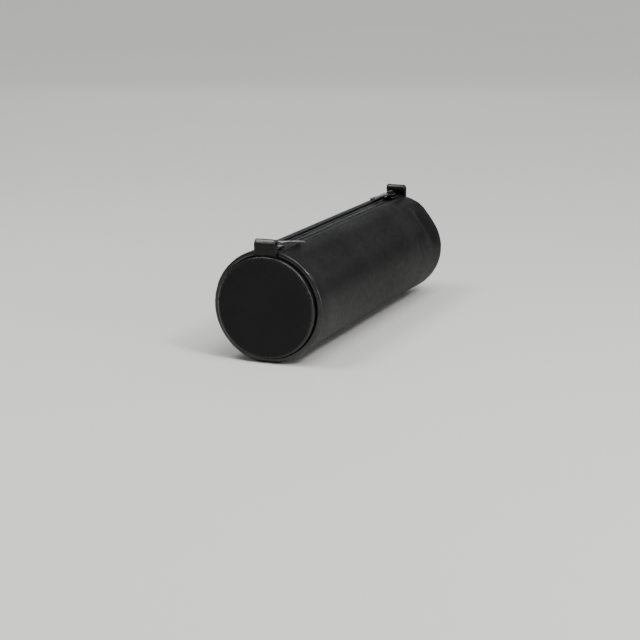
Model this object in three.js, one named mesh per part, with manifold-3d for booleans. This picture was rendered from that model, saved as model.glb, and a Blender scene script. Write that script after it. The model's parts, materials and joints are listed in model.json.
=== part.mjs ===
// A round zip-up leather case for fountain pens, lying on its base with its zip on top.
// Millimetres, +Z up. +X runs from the near end cap to the far one, and the origin is the
// middle of the base. "left" is the +Y side and "right" the -Y side.
import * as THREE from "three";
import { mergeVertices } from "three/addons/utils/BufferGeometryUtils.js";
import Module from "manifold-3d";

const wasm = await Module();
wasm.setup();

// ---- Driving dimensions ----

const caseLength = 200; // from the face of one end cap to the face of the other
const caseRadius = 30; // outside of the round wall
const restDrop = 1; // how far the base is pressed flat
const clearance = 0.3; // between two pieces that touch
const jointGap = 0.6; // between two lengths of wall that move apart
const overlap = 0.2; // how far one part of a piece runs into the next, to make one solid

const leatherThickness = 1.4;
const fillerThickness = 0.6; // the zip tape, and the padding that lies beside it
const liningThickness = 0.8;
const foldAngle = 164.5; // where the wall bends when the case opens, in degrees from straight up
const liningSetBack = 2.1; // from the leather's edge at the zip to the lining's edge
const bridgeLength = 52; // the middle of the wall, which stays zipped

const rimSetBack = 3; // how far the wall's rim lies behind the cap's face
const rimFoldReach = 0.4; // how far the rim's turned edge reaches past the padding
const rimStripWidth = 5; // the strip that keeps the rim round
const rimStripThickness = 0.7;
const capDepth = 5.8; // the cap's turned side, from its face
const capSideThickness = 1.2;
const boardThickness = 1.2;

const chainWidth = 5.8; // both rows of teeth, closed
const tapeWidth = 9.8; // of each tape, beside the teeth
const toothPitch = 2.8;
const toothWidth = 1; // along the zip
const toothHeight = 2.2;
const toothOverlap = 1.1; // how far a tooth reaches past the middle of the zip
const cordWidth = 1.4; // the edge cord that carries the teeth
const stopLength = 1.4;
const stopReach = 0.4; // from the cord towards the middle

const sliderLength = 9.6;
const flangeThickness = 0.5; // the slider's sides, which hold the two rows together
const plateOverhang = 0.4; // from the flanges to the edge of the plates
const flangeSetBack = 1.4; // from the ends of the plates to the ends of the flanges
const sliderPlateThickness = 1.3;
const sliderTaper = 0.5; // how much narrower, each side, the plates are where the zip closes
const sliderCornerRadius = 1.4;
const postLength = 1.8; // the wedge that parts the two rows of teeth
const postWidth = 2.2;
const postSetBack = 0.4; // from the end of the plates
const postToTeeth = 1.5; // from the post to the last tooth, at rest
const crownLength = 4.4;
const crownWidth = 1.6;
const crownThickness = 0.8;
const crownChamfer = 0.5;

const pullLength = 20;
const pullThickness = 1;
const pullArmWidth = 0.95; // each side of the window that the crown stands in
const axlePlay = 0.35; // between the pull's axle bar and the crown
const pullHeadLength = 5.5; // the level part, before the pull slopes down
const pullLift = 0.35; // from the leather to the pull's tip
const pullHoleRadius = 1.1;
const pullHeading = { near: -28, far: 165 }; // degrees from +X, towards +Y

const tabWidth = 11;
const tabRise = 8.2; // above the cap's edge
const tabThickness = 1;
const tabLoopRadius = 2.1;
const tabLap = 0.5; // how far the rear layer runs up beside the loop

// ---- What follows from them ----

const axisHeight = caseRadius - restDrop;
const fillerInset = leatherThickness + clearance;
const liningInset = fillerInset + fillerThickness + clearance;
const liningBack = liningInset + liningThickness;
const rimFold = fillerInset + fillerThickness + rimFoldReach;
const capInset = rimFold + clearance;
const capBack = capInset + capSideThickness;
const capFace = caseLength / 2;
const rimFace = capFace - rimSetBack;
const turnedFace = rimFace - leatherThickness;
const flankEnd = turnedFace - jointGap - clearance;
const flankStart = bridgeLength / 2 + jointGap / 2;
const fillerEnd = turnedFace - clearance;
const stripStart = fillerEnd - rimStripWidth;
const layerEnd = stripStart - clearance;
const boardFace = capFace - leatherThickness - clearance;
const endLiningFace = boardFace - boardThickness - clearance;
const zipHeight = 2 * caseRadius - restDrop - fillerInset - fillerThickness / 2;
const toothSide = chainWidth / 2;
const tapeEdge = toothSide + clearance;
const tapeOuterEdge = tapeEdge + tapeWidth;
const sliderHalfWidth = toothSide + clearance + flangeThickness + plateOverhang;
const slotHalfWidth = sliderHalfWidth + clearance;
const tapeRadius = caseRadius - fillerInset;
const tapeSag = tapeRadius - Math.sqrt(tapeRadius ** 2 - sliderHalfWidth ** 2);
const liningHalfWidth = slotHalfWidth + liningSetBack;
const stopEnd = capFace - capDepth - clearance;
const sliderRest = stopEnd - stopLength - clearance - sliderLength / 2;
const toothRowEnd = sliderRest + sliderLength / 2 - postLength - postToTeeth;
const plateFloor = toothHeight / 2 + clearance;
const plateTop = plateFloor + sliderPlateThickness;
const crownRise = crownThickness + Math.SQRT2 * pullThickness + 2 * axlePlay;
const pullAxle = plateTop + (crownRise - crownThickness) / 2;
const ends = { near: -1, far: 1 };
const sides = { left: 1, right: -1 };
const whole = 360;

// ---- Materials ----

function material(color, roughness, metalness = 0) {
  return () => new THREE.MeshStandardMaterial({ color, roughness, metalness });
}

const blackLeather = material(0x1b1b1d, 0.55);
const blackLining = material(0x26262a, 0.95);
const greyPadding = material(0x55555a, 1);
const greyBoard = material(0x6b6459, 0.95);
const blackTape = material(0x151517, 0.9);
const darkMetal = material(0x5a5a60, 0.35, 0.9);

// ---- Shape helpers ----

const radians = THREE.MathUtils.degToRad;

// The closed solid of a geometry, its shared vertices merged.
function solidOf(geometry) {
  const bare = geometry.clone();
  bare.deleteAttribute("normal");
  bare.deleteAttribute("uv");
  const merged = mergeVertices(bare, 1e-4);
  const mesh = new wasm.Mesh({
    numProp: 3,
    vertProperties: merged.attributes.position.array,
    triVerts: new Uint32Array(merged.index.array),
  });
  return new wasm.Manifold(mesh);
}

function geometryOf(solid) {
  const mesh = solid.getMesh();
  const geometry = new THREE.BufferGeometry();
  geometry.setAttribute("position", new THREE.BufferAttribute(mesh.vertProperties, 3));
  geometry.setIndex(new THREE.BufferAttribute(mesh.triVerts, 1));
  return geometry;
}

function join(geometries) {
  const solids = geometries.map(solidOf);
  return geometryOf(solids.reduce((sum, solid) => sum.add(solid)));
}

// Extrudes a shape drawn in the plane across the case (its x is +Y, its y is +Z) from x0 to x1.
function across(shape, x0, x1) {
  const geometry = new THREE.ExtrudeGeometry(shape, { depth: x1 - x0, bevelEnabled: false });
  const turn = new THREE.Matrix4().makeBasis(
    new THREE.Vector3(0, 1, 0),
    new THREE.Vector3(0, 0, 1),
    new THREE.Vector3(1, 0, 0),
  );
  return geometry.applyMatrix4(turn).translate(x0, 0, 0);
}

// Extrudes a shape drawn in the plane along the case (its x is +X, its y is +Z), width wide about y = 0.
function along(shape, width) {
  const geometry = new THREE.ExtrudeGeometry(shape, { depth: width, bevelEnabled: false });
  return geometry.rotateX(Math.PI / 2).translate(0, width / 2, 0);
}

// A box from one corner to the opposite one.
function block([x0, y0, z0], [x1, y1, z1]) {
  const geometry = new THREE.BoxGeometry(Math.abs(x1 - x0), Math.abs(y1 - y0), Math.abs(z1 - z0));
  return geometry.translate((x0 + x1) / 2, (y0 + y1) / 2, (z0 + z1) / 2);
}

// ---- The wall's section: a circle whose base is pressed flat ----

// The point at an angle in degrees from straight up, towards +Y, at a depth under the outside.
function sectionPoint(inset, angle) {
  const radius = caseRadius - inset;
  const height = axisHeight + radius * Math.cos(radians(angle));
  return new THREE.Vector2(radius * Math.sin(radians(angle)), Math.max(height, inset));
}

// Points along a layer between two angles, none of them inside the straight line of the base.
function sectionArc(inset, from, to) {
  const step = 7.5;
  const closest = 0.5;
  const radius = caseRadius - inset;
  const flatStart = THREE.MathUtils.radToDeg(Math.acos(-(radius - restDrop) / radius));
  const count = Math.ceil((to - from) / step);
  const even = Array.from({ length: count - 1 }, (_, i) => from + ((to - from) * (i + 1)) / count);
  const corners = [-flatStart, flatStart, whole - flatStart];
  const onCurve = (angle) => corners.every((corner) => Math.abs(angle - corner) > closest);
  const clearOfBase = (angle) => Math.abs(angle) < flatStart || angle > whole - flatStart;
  const inRange = corners.filter((corner) => corner > from + closest && corner < to - closest);
  const between = even.filter((angle) => onCurve(angle) && clearOfBase(angle));
  const angles = [from, ...[...between, ...inRange].sort((a, b) => a - b), to];
  return angles.map((angle) => sectionPoint(inset, angle));
}

// The angle at which a layer is a given distance from the middle of the zip.
function angleAt(inset, distance) {
  return THREE.MathUtils.radToDeg(Math.asin(distance / (caseRadius - inset)));
}

// A length of one layer of wall between two angles.
function band(outer, inner, from, to, x0, x1) {
  const shape = new THREE.Shape([
    ...sectionArc(outer, from, to),
    ...sectionArc(inner, from, to).reverse(),
  ]);
  return across(shape, x0, x1);
}

function fullSection(inset) {
  return sectionArc(inset, 0, whole).slice(0, -1);
}

function ring(outer, inner, x0, x1) {
  const shape = new THREE.Shape(fullSection(outer));
  shape.holes.push(new THREE.Path(fullSection(inner).reverse()));
  return across(shape, x0, x1);
}

function plate(inset, x0, x1) {
  return across(new THREE.Shape(fullSection(inset)), x0, x1);
}

// The two x values of a stretch at one end, from the inner one to the outer one, in rising order.
function stretch(end, inner, outer) {
  return end > 0 ? [inner, outer] : [-outer, -inner];
}

// The angles of a stretch on one side, in rising order.
function turn(side, from, to) {
  return side > 0 ? [from, to] : [-to, -from];
}

// ---- The wall: leather outside, padding, lining inside ----

// The parts of a layer that stay put: the base, and the middle that stays zipped.
function fixedLayer(outer, inner, edge, end) {
  const foldGap = THREE.MathUtils.radToDeg(clearance / caseRadius);
  const half = bridgeLength / 2 - jointGap / 2;
  return [
    band(outer, inner, foldAngle + foldGap, whole - foldAngle - foldGap, -end, end),
    band(outer, inner, edge, whole - edge, -half, half),
  ];
}

// One layer of the quarter of the wall that swings out when the zip is open over it.
function flankLayer(end, side, outer, inner, edge, reach) {
  const angles = turn(side, edge, foldAngle);
  return band(outer, inner, ...angles, ...stretch(end, flankStart, reach));
}

function leatherWall() {
  const edge = angleAt(0, slotHalfWidth);
  const rims = Object.values(ends).flatMap((end) => [
    ring(0, leatherThickness, ...stretch(end, flankEnd + jointGap, rimFace)),
    ring(0, rimFold, ...stretch(end, turnedFace, rimFace)),
  ]);
  return join([...fixedLayer(0, leatherThickness, edge, rimFace), ...rims]);
}

function paddingWall() {
  const inner = fillerInset + fillerThickness;
  const edge = angleAt(fillerInset, tapeOuterEdge + clearance);
  return join(fixedLayer(fillerInset, inner, edge, layerEnd));
}

function liningWall() {
  const edge = angleAt(liningInset, liningHalfWidth);
  return join(fixedLayer(liningInset, liningBack, edge, layerEnd));
}

// ---- The ends ----

function endCap(end) {
  return join([
    plate(capInset, ...stretch(end, capFace - leatherThickness, capFace)),
    ring(capInset, capBack, ...stretch(end, capFace - capDepth, capFace)),
  ]);
}

function endBoard(end) {
  return plate(capBack + clearance, ...stretch(end, boardFace - boardThickness, boardFace));
}

function endLining(end) {
  const inset = capBack + clearance;
  return plate(inset, ...stretch(end, endLiningFace - liningThickness, endLiningFace));
}

function rimStrip(end) {
  const edge = angleAt(fillerInset, tapeOuterEdge + clearance);
  const outer = rimFold - rimStripThickness;
  return band(outer, rimFold, edge, whole - edge, ...stretch(end, stripStart, fillerEnd));
}

// The tab is a strap folded over into a loop, its two ends sewn in between the cap and the rim.
function endTab(end) {
  const foot = 2 * caseRadius - restDrop - capInset + clearance;
  const centreZ = foot - clearance + tabRise - tabLoopRadius;
  const rearFace = rimFace + clearance;
  const centreX = rearFace + tabThickness - overlap / 2;
  const loop = new THREE.Shape().absarc(centreX, centreZ, tabLoopRadius, 0, 2 * Math.PI);
  loop.holes.push(
    new THREE.Path().absarc(centreX, centreZ, tabLoopRadius - tabThickness, 0, 2 * Math.PI),
  );
  const half = tabWidth / 2;
  const rearTop = centreZ - tabLoopRadius + tabLap;
  const frontX = centreX + tabLoopRadius - overlap - tabThickness;
  const strap = join([
    along(loop, tabWidth),
    block([rearFace, -half, foot], [rearFace + tabThickness, half, rearTop]),
    block([frontX, -half, foot], [frontX + tabThickness, half, centreZ]),
  ]);
  return end > 0 ? strap : strap.rotateZ(Math.PI);
}

// ---- The zip ----

function zipTape(side) {
  const from = angleAt(fillerInset, tapeEdge);
  const to = angleAt(fillerInset, tapeOuterEdge);
  const inner = fillerInset + fillerThickness;
  return band(fillerInset, inner, ...turn(side, from, to), -fillerEnd, fillerEnd);
}

// One row of teeth on its edge cord, cut as a comb. The right row is half a pitch on from the left one.
function toothRow(side) {
  const count = Math.floor(toothRowEnd / toothPitch);
  const shift = side > 0 ? 0 : toothPitch / 2;
  const last = side > 0 ? count : count - 1;
  const end = count * toothPitch + toothWidth;
  const inner = toothSide - cordWidth;
  const comb = new THREE.Shape();
  comb.moveTo(-end, side * toothSide);
  comb.lineTo(-end, side * inner);
  for (let i = -count; i <= last; i += 1) {
    const x = i * toothPitch + shift;
    comb.lineTo(x - toothWidth / 2, side * inner);
    comb.lineTo(x - toothWidth / 2, -side * toothOverlap);
    comb.lineTo(x + toothWidth / 2, -side * toothOverlap);
    comb.lineTo(x + toothWidth / 2, side * inner);
  }
  comb.lineTo(end, side * inner);
  comb.lineTo(end, side * toothSide);
  const row = new THREE.ExtrudeGeometry(comb, { depth: toothHeight, bevelEnabled: false });
  return row.translate(0, 0, zipHeight - toothHeight / 2);
}

// A stop is clamped to the end of each tape's edge, where it stops the slider.
function zipStop(end, side) {
  const [x0, x1] = stretch(end, stopEnd - stopLength, stopEnd);
  const inner = side * (toothSide - cordWidth - stopReach);
  const height = toothHeight / 2;
  return block([x0, inner, zipHeight - height], [x1, side * toothSide, zipHeight + height]);
}

// The outline of a slider's plates, a little narrower at the end that closes the zip.
function sliderOutline() {
  const half = sliderLength / 2;
  const wide = sliderHalfWidth;
  const narrow = wide - sliderTaper;
  const corner = sliderCornerRadius;
  const shape = new THREE.Shape();
  shape.moveTo(-half + corner, -wide);
  shape.lineTo(0, -wide);
  shape.lineTo(half - corner, -narrow);
  shape.quadraticCurveTo(half, -narrow, half, -narrow + corner);
  shape.lineTo(half, narrow - corner);
  shape.quadraticCurveTo(half, narrow, half - corner, narrow);
  shape.lineTo(0, wide);
  shape.lineTo(-half + corner, wide);
  shape.quadraticCurveTo(-half, wide, -half, wide - corner);
  shape.lineTo(-half, -wide + corner);
  shape.quadraticCurveTo(-half, -wide, -half + corner, -wide);
  return shape;
}

// The crown is an arch along the slider, which the pull's axle bar lies under.
function sliderCrown() {
  const half = crownLength / 2;
  const top = plateTop + crownRise;
  const foot = plateTop - overlap;
  const arch = new THREE.Shape([
    new THREE.Vector2(-half, foot),
    new THREE.Vector2(-half + crownThickness, foot),
    new THREE.Vector2(-half + crownThickness, top - crownThickness),
    new THREE.Vector2(half - crownThickness, top - crownThickness),
    new THREE.Vector2(half - crownThickness, foot),
    new THREE.Vector2(half, foot),
    new THREE.Vector2(half, top - crownChamfer),
    new THREE.Vector2(half - crownChamfer, top),
    new THREE.Vector2(-half + crownChamfer, top),
    new THREE.Vector2(-half, top - crownChamfer),
  ]);
  return along(arch, crownWidth);
}

// A slider about its own middle, at the height of the tapes: its open end looks along -X.
function sliderBody() {
  const options = { depth: sliderPlateThickness, bevelEnabled: false };
  const top = new THREE.ExtrudeGeometry(sliderOutline(), options).translate(0, 0, plateFloor);
  const bottom = new THREE.ExtrudeGeometry(sliderOutline(), options);
  bottom.translate(0, 0, -plateTop);
  const tapeTop = fillerThickness / 2 + clearance;
  const flangeEnd = sliderLength / 2 - flangeSetBack;
  const pieces = [top, bottom, sliderCrown()];
  const postX = -sliderLength / 2 + postSetBack;
  const postTop = plateFloor + overlap;
  pieces.push(
    block([postX, -postWidth / 2, -postTop], [postX + postLength, postWidth / 2, postTop]),
  );
  for (const side of Object.values(sides)) {
    for (const [up, tapeFace] of [
      [1, tapeTop],
      [-1, tapeTop + tapeSag],
    ]) {
      pieces.push(
        block(
          [-flangeEnd, side * (toothSide + clearance), up * tapeFace],
          [flangeEnd, side * (sliderHalfWidth - plateOverhang), up * (plateFloor + overlap)],
        ),
      );
    }
  }
  return join(pieces);
}

// The height of the leather above the base, at a distance from the middle.
function leatherHeight(distance) {
  return axisHeight + Math.sqrt(caseRadius ** 2 - distance ** 2);
}

// The window that lets either pull swing about the crown from where it lies. The two pulls are alike.
function pullWindow() {
  const headings = Object.values(pullHeading).map(radians);
  const cosines = headings.map((heading) => Math.abs(Math.cos(heading)));
  const sines = headings.map((heading) => Math.abs(Math.sin(heading)));
  const spread = (a, b) => (crownLength / 2) * a + (crownWidth / 2) * b;
  const reaches = headings.map((_, i) => spread(cosines[i], sines[i]));
  const widths = headings.map((_, i) => spread(sines[i], cosines[i]));
  return {
    side: Math.max(...widths) + clearance,
    end: Math.hypot(Math.max(...reaches), plateTop + crownRise - pullAxle) + clearance,
  };
}

// A pull about its axle bar, lying along +X: its outline from above, cut to its bent side view.
function pullBody(heading) {
  const gap = pullWindow();
  const half = gap.side + pullArmWidth;
  const bar = pullThickness / 2;
  const tip = pullLength - bar;
  const swing = Math.abs(Math.sin(radians(heading)));
  const straight = Math.abs(Math.cos(radians(heading)));
  const restsAt = Math.max(slotHalfWidth, tip * swing - half * straight);
  const drop = zipHeight + pullAxle - bar - leatherHeight(restsAt) - pullLift;
  const outline = new THREE.Shape();
  outline.moveTo(-bar, -half);
  outline.lineTo(tip - half, -half);
  outline.absarc(tip - half, 0, half, -Math.PI / 2, Math.PI / 2);
  outline.lineTo(-bar, half);
  outline.closePath();
  const corners = [
    [bar, -gap.side],
    [bar, gap.side],
    [gap.end, gap.side],
    [gap.end, -gap.side],
  ];
  outline.holes.push(new THREE.Path(corners.map(([x, y]) => new THREE.Vector2(x, y))));
  const hole = new THREE.Path();
  hole.absarc(tip - half, 0, pullHoleRadius, 0, 2 * Math.PI, true);
  outline.holes.push(hole);
  const tall = 4 * pullThickness;
  const options = { depth: 2 * tall, bevelEnabled: false, curveSegments: 8 };
  const above = new THREE.ExtrudeGeometry(outline, options).translate(0, 0, -tall);
  const sideView = new THREE.Shape([
    new THREE.Vector2(-bar, -bar),
    new THREE.Vector2(pullHeadLength, -bar),
    new THREE.Vector2(tip + pullThickness, -drop - bar),
    new THREE.Vector2(tip + pullThickness, -drop + bar),
    new THREE.Vector2(pullHeadLength, bar),
    new THREE.Vector2(-bar, bar),
  ]);
  return geometryOf(solidOf(above).intersect(solidOf(along(sideView, 4 * half))));
}

// ---- Assembly ----

const fountainPenCase = new THREE.Group();

function add(name, geometry, makeMaterial, parent = fountainPenCase) {
  const mesh = new THREE.Mesh(geometry, makeMaterial());
  mesh.name = name;
  parent.add(mesh);
}

add("leather_wall", leatherWall(), blackLeather);
add("padding_wall", paddingWall(), greyPadding);
add("lining_wall", liningWall(), blackLining);

const leatherEdge = angleAt(0, slotHalfWidth);
const paddingEdge = angleAt(fillerInset, tapeOuterEdge + clearance);
const liningEdge = angleAt(liningInset, liningHalfWidth);
const paddingBack = fillerInset + fillerThickness;

for (const [endName, end] of Object.entries(ends)) {
  for (const [sideName, side] of Object.entries(sides)) {
    const place = `${endName}_${sideName}`;
    const leather = flankLayer(end, side, 0, leatherThickness, leatherEdge, flankEnd);
    const padding = flankLayer(end, side, fillerInset, paddingBack, paddingEdge, layerEnd);
    const lining = flankLayer(end, side, liningInset, liningBack, liningEdge, layerEnd);
    add(`leather_flank_${place}`, leather, blackLeather);
    add(`padding_flank_${place}`, padding, greyPadding);
    add(`lining_flank_${place}`, lining, blackLining);
    add(`zip_stop_${place}`, zipStop(end, side), darkMetal);
  }
  add(`end_cap_${endName}`, endCap(end), blackLeather);
  add(`end_board_${endName}`, endBoard(end), greyBoard);
  add(`end_lining_${endName}`, endLining(end), blackLining);
  add(`rim_strip_${endName}`, rimStrip(end), greyBoard);
  add(`end_tab_${endName}`, endTab(end), blackLeather);

  const slider = new THREE.Group();
  slider.position.set(end * sliderRest, 0, zipHeight);
  fountainPenCase.add(slider);
  const sliderGeometry = end > 0 ? sliderBody().rotateZ(Math.PI) : sliderBody();
  add(`slider_${endName}`, sliderGeometry, darkMetal, slider);
  const pull = new THREE.Group();
  pull.position.z = pullAxle;
  pull.rotation.z = radians(pullHeading[endName]);
  slider.add(pull);
  add(`pull_${endName}`, pullBody(pullHeading[endName]), darkMetal, pull);
}

for (const [sideName, side] of Object.entries(sides)) {
  add(`zip_tape_${sideName}`, zipTape(side), blackTape);
  add(`zip_teeth_${sideName}`, toothRow(side), darkMetal);
}

export default fountainPenCase;
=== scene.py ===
"""A round zip-up leather case for fountain pens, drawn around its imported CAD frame. Metres, +Z up, the case
along X: its near end is at -X, its left side at +Y. Rows of points run along the case, columns round it."""

import json
import math

import bmesh
import bpy
import numpy as np
from mathutils import Matrix, Vector, noise


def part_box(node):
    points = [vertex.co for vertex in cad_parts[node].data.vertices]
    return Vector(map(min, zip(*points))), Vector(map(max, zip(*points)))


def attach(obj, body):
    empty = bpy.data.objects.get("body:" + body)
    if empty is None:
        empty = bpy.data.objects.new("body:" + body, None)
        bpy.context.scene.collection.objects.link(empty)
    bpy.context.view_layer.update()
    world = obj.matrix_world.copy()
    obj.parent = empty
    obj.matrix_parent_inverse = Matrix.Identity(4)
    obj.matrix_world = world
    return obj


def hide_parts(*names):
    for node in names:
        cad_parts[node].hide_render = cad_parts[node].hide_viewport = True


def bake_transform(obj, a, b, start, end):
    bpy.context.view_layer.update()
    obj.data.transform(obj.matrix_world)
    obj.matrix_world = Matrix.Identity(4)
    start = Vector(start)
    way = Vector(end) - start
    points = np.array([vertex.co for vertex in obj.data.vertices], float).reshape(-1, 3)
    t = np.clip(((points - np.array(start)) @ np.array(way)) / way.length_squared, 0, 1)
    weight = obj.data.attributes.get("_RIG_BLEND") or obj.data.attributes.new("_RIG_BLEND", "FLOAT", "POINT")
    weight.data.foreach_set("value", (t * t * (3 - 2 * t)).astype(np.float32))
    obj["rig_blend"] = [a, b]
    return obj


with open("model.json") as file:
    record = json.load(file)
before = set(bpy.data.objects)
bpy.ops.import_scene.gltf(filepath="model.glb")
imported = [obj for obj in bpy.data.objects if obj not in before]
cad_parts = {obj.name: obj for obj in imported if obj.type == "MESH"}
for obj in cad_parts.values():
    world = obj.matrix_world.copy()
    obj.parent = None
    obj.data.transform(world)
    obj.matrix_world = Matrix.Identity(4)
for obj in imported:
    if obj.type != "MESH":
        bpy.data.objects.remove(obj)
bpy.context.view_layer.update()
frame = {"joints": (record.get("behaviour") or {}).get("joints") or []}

MM = 0.001
ENDS = {"near": -1, "far": 1}
SIDES = {"left": 1, "right": -1}

# ---- Sizes, taken from the frame ----

wall_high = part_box("leather_wall")[1]
flank_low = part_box("leather_flank_far_left")[0]
cap_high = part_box("end_cap_far")[1]
tape_low, tape_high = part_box("zip_tape_left")
teeth_low, teeth_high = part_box("zip_teeth_left")
lining_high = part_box("lining_wall")[1]
padding_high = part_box("padding_wall")[1]
stop_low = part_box("zip_stop_far_left")[0]
slider_low, slider_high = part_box("slider_far")

RADIUS = wall_high.y
AXIS_Z = wall_high.z - RADIUS
REST_FLAT = 0.3 * MM  # how far the case's own weight flattens its round underside
RIM_X = wall_high.x
CAP_X = cap_high.x
CAP_INSET = RADIUS - cap_high.y
SLOT_HALF = flank_low.y
ZIP_Z = (teeth_low.z + teeth_high.z) / 2
TAPE_INSET = wall_high.z - tape_high.z
LINING_INSET = wall_high.z - lining_high.z
PADDING_INSET = wall_high.z - padding_high.z
STOP_X = stop_low.x
TAB_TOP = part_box("end_tab_far")[1].z + 0.7 * MM  # the soft fold stands a little above the CAD's
SLIDER_HALF = (slider_high.x - slider_low.x) / 2
SLIDER_X = (slider_high.x + slider_low.x) / 2


def joint(name):
    return next(j for j in frame["joints"] if j["name"] == name)


TRAVEL = max(joint("zip_far")["range_m"])
FOLD = Vector(joint("flank_far_left_fold")["pos_m"])
FOLD_ANGLE = math.acos((FOLD.z - AXIS_Z) / RADIUS)
CLOSED_X = SLIDER_X - TRAVEL + SLIDER_HALF  # the zip never opens nearer the middle than this

LEATHER = 1.3 * MM
FILLER = 0.6 * MM  # the zip tape, and the padding beside it
LINING = 0.7 * MM
PADDING_EDGE = 13.3 * MM  # from the middle of the zip to the padding's edge
LINING_EDGE = 6.5 * MM
TOOTH_PITCH = 2.8 * MM
STITCH_PITCH = 3.1 * MM
STITCH_SET_BACK = 2.4 * MM  # from the edge of the slot


# ---- Mesh helpers ----


def finish_mesh(name, mesh, material, slot, sharp_deg=40):
    """An object from a mesh, its normals facing out and its shading smooth but for its corners."""
    bm = bmesh.new()
    bm.from_mesh(mesh)
    bmesh.ops.remove_doubles(bm, verts=bm.verts, dist=1e-7)
    bmesh.ops.recalc_face_normals(bm, faces=bm.faces)
    bm.to_mesh(mesh)
    bm.free()
    mesh.polygons.foreach_set("use_smooth", [True] * len(mesh.polygons))
    mesh.set_sharp_from_angle(angle=math.radians(sharp_deg))
    mesh.materials.append(material)
    piece = bpy.data.objects.new(name, mesh)
    bpy.context.scene.collection.objects.link(piece)
    if slot == "dark_metal":
        flat_faces = piece.modifiers.new("flat_faces", "WEIGHTED_NORMAL")
        flat_faces.keep_sharp = True
        flat_faces.weight = 90
    return piece


def mesh_from(name, points, faces):
    mesh = bpy.data.meshes.new(name)
    mesh.from_pydata([tuple(p) for p in points], [], faces)
    return mesh


def grid_faces(rows, columns, start=0, close_columns=False):
    """Quads over a grid of points, numbered row by row."""
    faces = []
    width = columns if close_columns else columns - 1
    for i in range(rows - 1):
        for j in range(width):
            k = (j + 1) % columns
            a, b = start + i * columns + j, start + i * columns + k
            faces.append((a, b, b + columns, a + columns))
    return faces


class Solid:
    """Points and faces of one closed piece, gathered from several parts."""

    def __init__(self):
        self.points, self.faces = [], []

    def add(self, points, faces):
        start = len(self.points)
        self.points.extend(tuple(p) for p in points)
        self.faces.extend(tuple(start + k for k in face) for face in faces)

    def piece(self, name, material, slot, sharp_deg=40):
        return finish_mesh(name, mesh_from(name, self.points, self.faces), material, slot, sharp_deg)


def round_edge(solid, outer, inner, beyond, steps=3):
    """Closes the edge between two lines of points with a half round that stands out away from beyond."""
    rows = []
    for a, b, c in zip(outer, inner, beyond):
        middle, arm = (a + b) / 2, (a - b) / 2
        out = a - c
        out = out - arm * (out @ arm) / (arm @ arm)
        out = out / np.linalg.norm(out) * np.linalg.norm(arm)
        angles = [math.pi * k / (steps + 1) for k in range(steps + 2)]
        rows.append([middle + arm * math.cos(t) + out * math.sin(t) for t in angles])
    width = steps + 2
    solid.add([p for row in rows for p in row], grid_faces(len(rows), width))
    solid.add(rows[0], [tuple(range(width))])
    solid.add(rows[-1], [tuple(range(width))])


def flat_edge(solid, outer, inner):
    line = [p for pair in zip(outer, inner) for p in pair]
    solid.add(line, grid_faces(len(outer), 2))


def thick_sheet(outer, inner, round_first=False, round_last=False):
    """A closed sheet between two grids of points. Its first and last columns can have round edges."""
    solid = Solid()
    rows, columns = outer.shape[:2]
    for grid in (outer, inner):
        solid.add(grid.reshape(-1, 3), grid_faces(rows, columns))
    for column, beyond, rounded in ((0, 1, round_first), (-1, -2, round_last)):
        if rounded:
            round_edge(solid, outer[:, column], inner[:, column], outer[:, beyond])
        else:
            flat_edge(solid, outer[:, column], inner[:, column])
    for row in (0, -1):
        flat_edge(solid, outer[row], inner[row])
    return solid


def soft_box(solid, centre, half, bevel, turn=None):
    """A block with rounded edges. half is half its size each way."""
    bm = bmesh.new()
    bmesh.ops.create_cube(bm, size=2)
    bmesh.ops.scale(bm, vec=half, verts=bm.verts)
    bmesh.ops.bevel(bm, geom=bm.edges[:], offset=bevel, segments=2, profile=0.6, affect="EDGES")
    if turn is not None:
        bmesh.ops.transform(bm, matrix=turn, verts=bm.verts)
    bm.verts.index_update()
    solid.add([v.co + Vector(centre) for v in bm.verts], [[v.index for v in f.verts] for f in bm.faces])
    bm.free()


def smooth(t):
    t = min(1.0, max(0.0, t))
    return t * t * (3 - 2 * t)


def bell(t):
    return math.exp(-t * t)


# ---- The wall's section and its soft shape ----


def soft_floor(z, floor, width):
    """The higher of z and floor, with a rounded corner between them."""
    gap = z - floor
    return floor + (gap + math.sqrt(gap * gap + width * width)) / 2


def hollow(x, angle):
    """How far the soft wall lies inside (below 0) or outside its round section. The zip holds it straight."""
    degrees = math.degrees((angle + math.pi) % (2 * math.pi) - math.pi)
    held = smooth((RIM_X - abs(x)) / (22 * MM))
    slack = smooth((abs(degrees) - 25) / 22)
    waist = -0.4 * MM * held
    sag = -0.5 * MM * bell((abs(degrees) - 44) / 16) * held
    wave = 0.3 * MM * noise.noise(Vector((x * 26, math.cos(angle) * 1.3, math.sin(angle) * 1.3 + 7))) * held
    dent = -1.25 * MM * smooth((x - 74 * MM) / (12 * MM)) * bell((degrees + 54) / 23)
    scoop = -2.1 * MM * bell((x - 82 * MM) / (6.5 * MM)) * bell((degrees + 60) / 20)
    ridge_x = x - 75 * MM + (degrees + 50) * 0.13 * MM
    ridge = 0.8 * MM * bell(ridge_x / (4 * MM)) * bell((degrees + 58) / 24)
    dimple = -0.5 * MM * bell((x + 70 * MM) / (14 * MM)) * bell((degrees + 48) / 18)
    bulge = 0.8 * MM * bell((x + 92 * MM) / (16 * MM)) * bell((degrees + 98) / 26)
    return (waist + sag + wave + dent + scoop + ridge + dimple + bulge) * slack


def pucker(angle, seed):
    """The small gathers that a seam pulls into the leather, from -1 to 1."""
    p = Vector((math.cos(angle) * 15, math.sin(angle) * 15, seed))
    return noise.noise(p) * 0.7 + noise.noise(p * 2.3) * 0.5


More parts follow.
